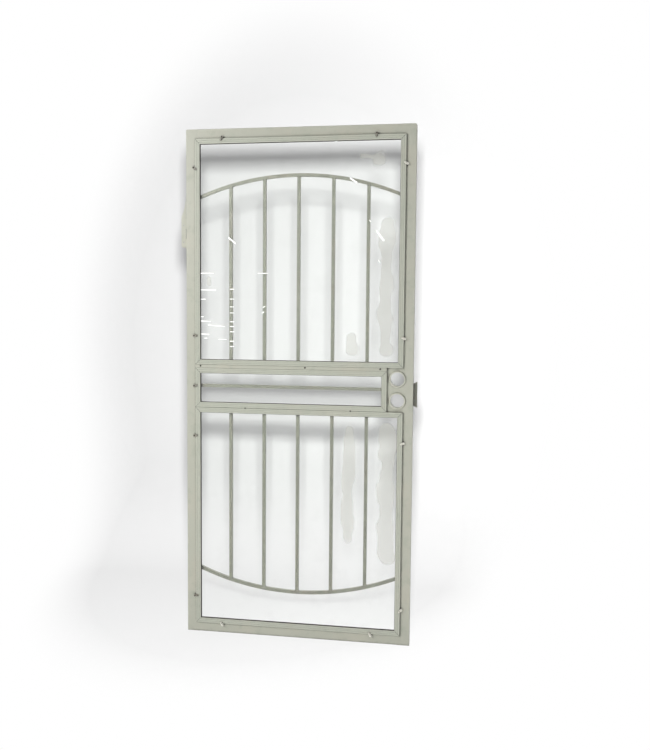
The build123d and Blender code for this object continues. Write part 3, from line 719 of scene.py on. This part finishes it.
# %% One mark as a node group
mark_shape, given, gives = start_group(
    "Mark Shape",
    [("Vector", "Vector", None), ("Centre", "Vector", (0.0, 0.0, 0.0)), ("Turn", "Float", 0.0),
     ("Half Length", "Float", 0.05), ("Half Width", "Float", 0.02), ("Rim", "Float", 0.3), ("Ragged", "Float", 0.2)],
    [("Mask", "Float")],
)
offset = node(mark_shape, "VectorMath", {0: given["Vector"], 1: given["Centre"]}, operation="SUBTRACT").outputs[0]
about_y = {"Vector": offset, "Angle": given["Turn"], "Axis": (0.0, 1.0, 0.0)}
parts = node(mark_shape, "SeparateXYZ", {"Vector": node(mark_shape, "VectorRotate", about_y).outputs[0]}).outputs
straight = work_out(mark_shape, "SUBTRACT", given["Half Length"], given["Half Width"])
past = work_out(mark_shape, "SUBTRACT", work_out(mark_shape, "ABSOLUTE", parts["X"]), straight)
past_end = work_out(mark_shape, "MAXIMUM", past, 0.0)
flat = node(mark_shape, "CombineXYZ", {"X": past_end, "Y": parts["Z"], "Z": 0.0}).outputs[0]
off_line = node(mark_shape, "VectorMath", {0: flat}, operation="LENGTH").outputs["Value"]
out_by = work_out(mark_shape, "DIVIDE", off_line, given["Half Width"])
centred = remap(mark_shape, noise(mark_shape, given["Vector"], 11.0, 1.0), 0.3, 0.7, -1.0, 1.0)
edge_at = work_out(mark_shape, "ADD", out_by, work_out(mark_shape, "MULTIPLY", centred, given["Ragged"]))
inner = work_out(mark_shape, "SUBTRACT", 1.0, given["Rim"])
mark_shape.links.new(remap(mark_shape, edge_at, 1.0, inner), gives["Mask"])

# %% [markdown]
# ## Where the marks lie
# Each mark is written down as a glazier would chalk it: its middle, across and up from the leaf's corner, its turn in
# degrees, half its length and half its width. A table of five numbers a mark is easier to change than a drawing.

# %% Marks in millimetres on the leaf
HAZE = (
    (803, 1415, 90, 272, 33), (668, 1192, 88, 56, 31), (774, 1899, -20, 38, 32), (730, 1912, -6, 34, 10),
    (664, 640, 89, 238, 25), (817, 604, 90, 290, 37), (95, 1435, 90, 22, 12),
)
# Bright streaks: painted reflections, glints that glow.
GLINT_STREAKS = [
    (86, 1466, 0, 30, 3.5), (315, 1466, 0, 22, 3.2), (88, 1400, 0, 38, 3.5), (68, 1363, 0, 14, 3.2),
    (62, 1293, 0, 11, 3), (78, 1275, -3, 25, 3), (124, 1257, -4, 36, 2.4), (76, 1223, -3, 20, 3),
    (80, 1207, 0, 8, 2.6), (150, 1203, 0, 18, 2), (189, 1595, -40, 22, 4.5), (673, 1822, -34, 19, 5),
    (778, 1611, -53, 28, 5), (739, 1667, -60, 7, 3), (776, 1512, -60, 9, 3), (320, 1334, 30, 7, 3),
    (316, 1312, 30, 7, 3), (603, 1973, -5, 8, 4),
]
BAR_GLINTS = (1403, 1364, 1333, 1309, 1274, 1255, 1234, 1196, 1175)
GLINT_STREAKS += [(189, height, 0, 10, 2.8) for height in BAR_GLINTS]
print("marks:", len(HAZE) + len(GLINT_STREAKS))

# %% The material of the film
FILM_Y = -1.25
HAZE_COVER, GLINT_COVER, THIN_COVER = 0.45, 0.9, 0.05
smears_and_glints, tree, shader, _, place = start_material("Dried Smears And Painted Glints")


def strongest(marks, rim, ragged):
    """The strongest of several marks at each point: the masks' maximum, taken one by one."""
    top = None
    for x, z, turn, length, width in marks:
        values = {"Vector": place, "Centre": on_leaf([x, FILM_Y, z]).tolist(), "Turn": radians(turn),
                  "Half Length": length / MM_PER_METRE, "Half Width": width / MM_PER_METRE, "Rim": rim,
                  "Ragged": ragged}
        mask = place_group(tree, mark_shape, values)["Mask"]
        top = mask if top is None else work_out(tree, "MAXIMUM", top, mask)
    return top


haze, glint_mask = strongest(HAZE, 0.3, 0.3), strongest(GLINT_STREAKS, 0.7, 0.1)
film = noise(tree, place, 7.0, 6.0, Roughness=0.65)
dusting = remap(tree, film, 0.45, 0.75, 0.0, THIN_COVER)
thin_haze = work_out(tree, "MULTIPLY", haze, HAZE_COVER)
thick_glint = work_out(tree, "MULTIPLY", glint_mask, GLINT_COVER)
marked = work_out(tree, "MAXIMUM", thin_haze, thick_glint)
tree.links.new(work_out(tree, "MAXIMUM", marked, dusting), shader.inputs["Alpha"])
tree.links.new(mix_colour(tree, glint_mask, srgb(217, 217, 208), srgb(252, 252, 250)), shader.inputs["Base Color"])
# The glints are white and glow: painted reflections that need no lamp.
tree.links.new(mix_colour(tree, glint_mask, srgb(0, 0, 0), srgb(255, 255, 255)), shader.inputs["Emission Color"])
tree.links.new(remap(tree, film, 0.3, 0.7, 0.55, 0.8), shader.inputs["Roughness"])
shader.inputs["Emission Strength"].default_value = 0.6

# %% A film over each pane
SIGHT_EDGE, FILM_POINTS = 19.5, 5
for name in ("lower", "upper"):
    x_low, x_high, z_low, z_high = INSERTS[name]
    across = np.linspace(x_low + SIGHT_EDGE, x_high - SIGHT_EDGE, FILM_POINTS)
    up = np.linspace(z_low + SIGHT_EDGE, z_high - SIGHT_EDGE, FILM_POINTS)
    x, z = np.meshgrid(across, up)
    sheet = on_leaf(np.stack([x, np.full_like(x, FILM_Y), z], axis=-1))
    build(f"{name}_glass_smears_and_glints", [sheet], smears_and_glints, "leaf", closed=False)

# %% [markdown]
# ## The camera
# The photo was taken from a little right of the door and below its middle, by a hand-held camera that leaned by half
# a degree. A pinhole fitted to the leaf's four edges gives its place, its turns and its lens. The sensor is 36 mm
# along the picture's longer side.

# %% Camera at the photo's place
CAMERA_SPOT = (1.174, -3.4034, -0.295)
PAN, TILT, LEAN = radians(9.87), radians(-4.36), radians(-0.45)
lens = bpy.data.cameras.new("Photo Camera")
lens.lens = 41.94
lens.sensor_width = 36.0
lens.clip_end = 60.0
camera = put_in_scene("Photo Camera", lens)
turns = Matrix.Rotation(PAN, 4, "Z") @ Matrix.Rotation(TILT, 4, "X") @ Matrix.Rotation(LEAN, 4, "Y")
camera.matrix_world = Matrix.Translation(CAMERA_SPOT) @ turns @ Matrix.Rotation(radians(90), 4, "X")
bpy.context.scene.camera = camera
print("camera at", tuple(round(v, 3) for v in camera.location))

# %% [markdown]
# ## Paper sweep
# A sheet of white paper lies under the door and curves up behind it, so no horizon shows. Its section is a straight
# floor, a quarter circle and a straight wall, carried across. A plane and a wall would do for the shadows, but their
# corner would draw a line across the picture.

# %% A sheet that curves up behind the door
FLOOR_HEIGHT, BEND_START, BEND_RADIUS = -1.6255, 0.7, 0.8
PAPER_FRONT, WALL_FOOT, PAPER_TOP, PAPER_HALF_WIDTH = -9.0, -0.7, 4.0, 14.0
turn = np.linspace(0, np.pi / 2, 25)
floor_line = np.stack([np.linspace(PAPER_FRONT, BEND_START, 12), np.full(12, FLOOR_HEIGHT)], axis=1)
bend = np.stack([BEND_START + BEND_RADIUS * np.sin(turn), FLOOR_HEIGHT + BEND_RADIUS * (1 - np.cos(turn))], axis=1)
wall_line = np.stack([np.full(8, BEND_START + BEND_RADIUS), np.linspace(WALL_FOOT, PAPER_TOP, 8)], axis=1)
line = np.concatenate([floor_line, bend, wall_line])
across, y = np.meshgrid([-PAPER_HALF_WIDTH, PAPER_HALF_WIDTH], line[:, 0])
grid = np.stack([across, y, np.repeat(line[:, 1:], 2, axis=1)], axis=-1)
sweep_mesh = grid_mesh("Paper Sweep", [grid])
sweep = put_in_scene("Paper Sweep", sweep_mesh)
print("paper faces up:", round(sweep_mesh.polygons[0].normal.z, 2),
      "and forward:", round(-sweep_mesh.polygons[-1].normal.y, 2))

# %% [markdown]
# ## White for the eye, plain paper for the light
# A studio cutout has pure white round it. White paper could be lit until it clips, but all that light would fall on the
# door as well. So the paper and the world look white only to rays that come from the camera, straight or through glass
# or a reflection, and stay modest for the light that reaches the door. Behind the door the paper shows as it is, so
# that the door's shadow stays on it, and the white share grows with the distance from there and down to the floor. The
# paper's back lets light and cameras through, so that the door can be looked at from behind.

# %% Which rays may see plain white
def seen_rays(tree):
    """One where a ray comes from the camera, straight or through glass or a reflection, and nothing where it has
    bounced off a dull surface: the three kinds are added, and the count of dull bounces is taken away."""
    ray = node(tree, "LightPath").outputs
    first = work_out(tree, "ADD", ray["Is Camera Ray"], ray["Is Glossy Ray"])
    all_three = work_out(tree, "ADD", first, ray["Is Transmission Ray"])
    return work_out(tree, "SUBTRACT", all_three, ray["Diffuse Depth"], use_clamp=True)


# %% White paper
PAPER_SHADE = (0.5, 0.5, 0.5, 1.0)
WHITE = (1.0, 1.0, 1.0, 1.0)
BEHIND_DOOR, SQUEEZE = (0.17, 1.3, -0.5), (1.05, 0.6, 0.75)
SHADOW_ZONE, FLOOR_SHARE = (1.0, 1.5), (-1.62, -1.15, 0.62, 0.04)
paper, tree, shader, out, place = start_material("White Paper")
shader.inputs["Base Color"].default_value = PAPER_SHADE
shader.inputs["Specular IOR Level"].default_value = 0.1
tree.links.new(remap(tree, noise(tree, place, 3.0, 2.0), 0.2, 0.8, 0.8, 0.9), shader.inputs["Roughness"])
glow = node(tree, "Emission", {"Color": WHITE, "Strength": 1.0})
middle = node(tree, "VectorMath", {0: place, 1: BEHIND_DOOR}, operation="SUBTRACT").outputs[0]
spread = node(tree, "VectorMath", {0: middle, 1: SQUEEZE}, operation="MULTIPLY").outputs[0]
away = node(tree, "VectorMath", {0: spread}, operation="LENGTH").outputs["Value"]
low = remap(tree, node(tree, "SeparateXYZ", {"Vector": place}).outputs["Z"], *FLOOR_SHARE)
far = work_out(tree, "MAXIMUM", remap(tree, away, *SHADOW_ZONE), low)
share = work_out(tree, "MULTIPLY", seen_rays(tree), far)
front = node(tree, "MixShader", {0: share, 1: shader.outputs[0], 2: glow.outputs[0]})
behind = node(tree, "NewGeometry").outputs["Backfacing"]
clear = node(tree, "BsdfTransparent")
both = node(tree, "MixShader", {0: behind, 1: front.outputs[0], 2: clear.outputs[0]})
tree.links.new(both.outputs[0], out.inputs["Surface"])
sweep_mesh.materials.append(paper)

# %% World
FILL = 0.25
SKY = (0.97, 0.985, 1.0, 1.0)
world = bpy.data.worlds.new("Studio")
bpy.context.scene.world = world
world.use_nodes = True
tree = world.node_tree
tree.nodes.clear()
dim = node(tree, "Background", {"Color": SKY, "Strength": FILL})
white = node(tree, "Background", {"Color": WHITE, "Strength": 1.0})
blend = node(tree, "MixShader", {0: seen_rays(tree), 1: dim.outputs[0], 2: white.outputs[0]})
node(tree, "OutputWorld", {"Surface": blend.outputs[0]})
print("world fill:", FILL)

# %% [markdown]
# ## Softbox and paper lamp
# A tall softbox stands some four and a half metres off, up on the left: it gives even light from top to bottom, and
# thin shadows to the right of the raised frames. A small lamp near the camera lights the paper alone, and there it
# leaves the door's own soft shadow. The softbox alone would throw that shadow far to one side, and a lamp near the
# camera would light the door flat, so light linking gives each lamp its own things. Neither lamp is visible to rays
# that have come through glass: the shadow rays let its light through already, and what stands behind a pane would be
# lit twice.

# %% Two lamps, each for its own things
DOOR_FOOT, WALL_BEHIND = Vector((0.48, 0.0, -1.35)), Vector((0.48, 1.5, -0.6))


def soft_lamp(name, spot, aim, size, watts, colour):
    """A rectangle of light that stands at a spot and faces its aim."""
    light = bpy.data.lights.new(name, "AREA")
    light.shape = "RECTANGLE"
    light.size, light.size_y = size
    light.energy = watts
    light.color = colour
    lamp = put_in_scene(name, light)
    lamp.location = spot
    lamp.visible_transmission = False
    lamp.rotation_euler = (aim - lamp.location).to_track_quat("-Z", "Y").to_euler()
    print(name, watts, "W,", round((aim - lamp.location).length, 2), "m from its aim")
    return lamp


softbox = soft_lamp("Softbox", (-2.0, -3.2, 0.7), DOOR_FOOT, (0.6, 1.9), 96.0, (1.0, 0.99, 0.975))
paper_lamp = soft_lamp("Paper Lamp", (1.17, -3.4, -0.02), WALL_BEHIND, (0.22, 0.22), 400.0, (1.0, 1.0, 1.0))
paper_only = bpy.data.collections.new("Paper Only")
paper_only.objects.link(sweep)
paper_lamp.light_linking.receiver_collection = paper_only
no_paper = bpy.data.collections.new("No Paper")
no_paper.objects.link(sweep)
no_paper.collection_objects[0].light_linking.link_state = "EXCLUDE"
softbox.light_linking.receiver_collection = no_paper

# %% [markdown]
# ## Colours as they are written
# Blender's usual view softens bright colours as film does. A plain view shows each colour about as it was given, which
# suits a part that other people will light in their own way.

# %% Colour management
bpy.context.scene.view_settings.view_transform = "Standard"
print("view:", bpy.context.scene.view_settings.view_transform)
